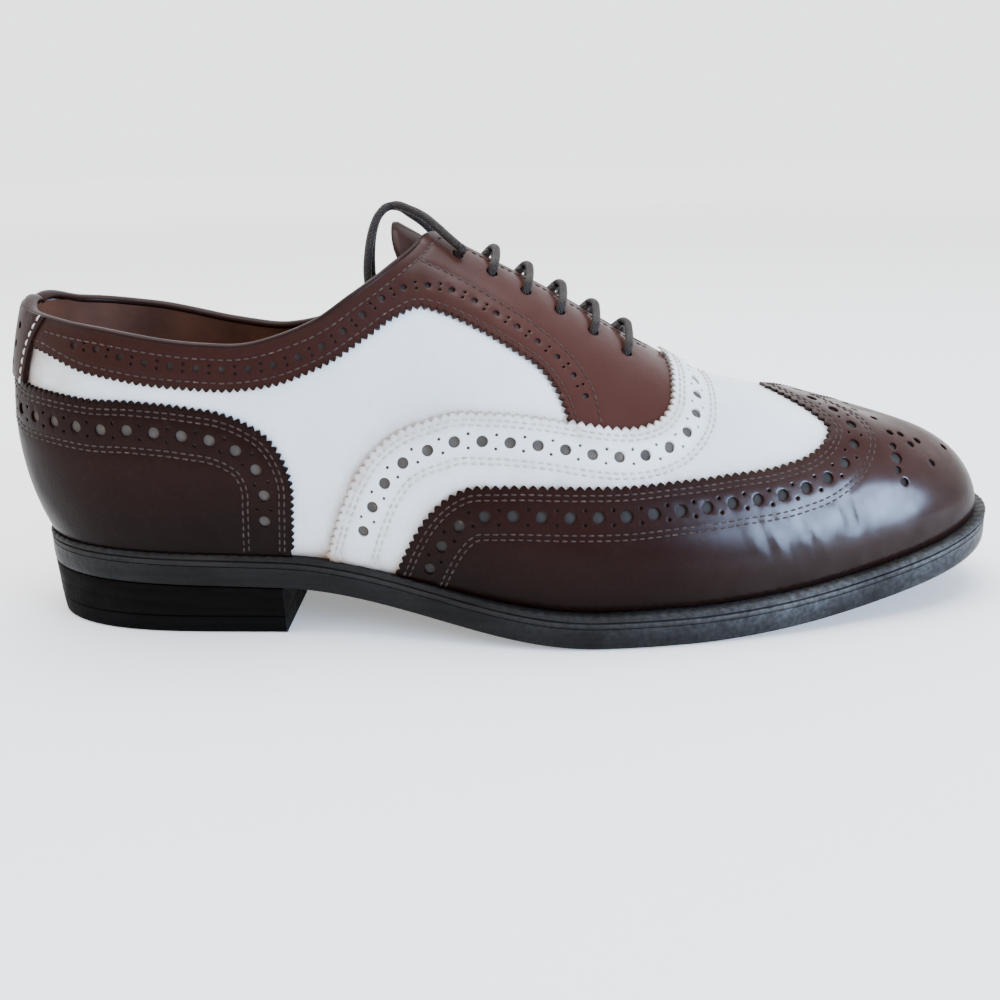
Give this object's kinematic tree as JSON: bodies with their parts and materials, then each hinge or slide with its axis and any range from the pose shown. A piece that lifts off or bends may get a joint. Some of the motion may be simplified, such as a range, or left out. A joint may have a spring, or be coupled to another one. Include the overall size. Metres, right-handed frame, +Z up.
{
  "type": "spectator shoe",
  "caption": "Right lace-up dress shoe: white leather upper with brown wing cap, facings and counter, leather sole and stacked heel.",
  "frame": {"origin": "on the floor, under the middle of the shoe's length and width", "axes": "+X towards the toe, -Y towards the outer side of the right foot, +Z up"},
  "size_m": [0.3063, 0.1088, 0.1232],
  "materials": {
    "white_leather": "smooth white calf, satin",
    "brown_leather": "polished dark brown calf",
    "lining_leather": "unpolished brown lining leather",
    "sole_leather": "dark edge dressing, worn",
    "welt_leather": "dull, dusty, with wheel marks",
    "heel_rubber": "matt black",
    "lace_cotton": "round waxed cotton, dark brown"
  },
  "bodies": {
    "root": {"upper": "white_leather", "vamp": "white_leather", "wing_cap": "brown_leather", "facing_outer": "brown_leather", "facing_inner": "brown_leather", "counter": "brown_leather", "back_strip": "brown_leather", "tongue": "brown_leather", "insole": "lining_leather", "welt": "welt_leather", "outsole": "sole_leather", "heel_stack": "sole_leather", "top_lift": "heel_rubber", "lace_cross_1": "lace_cotton", "lace_cross_2": "lace_cotton", "lace_cross_3": "lace_cotton", "lace_cross_4": "lace_cotton", "lace_cross_5": "lace_cotton", "lace_end_outer": "lace_cotton", "lace_end_inner": "lace_cotton"}
  },
  "joints": []
}
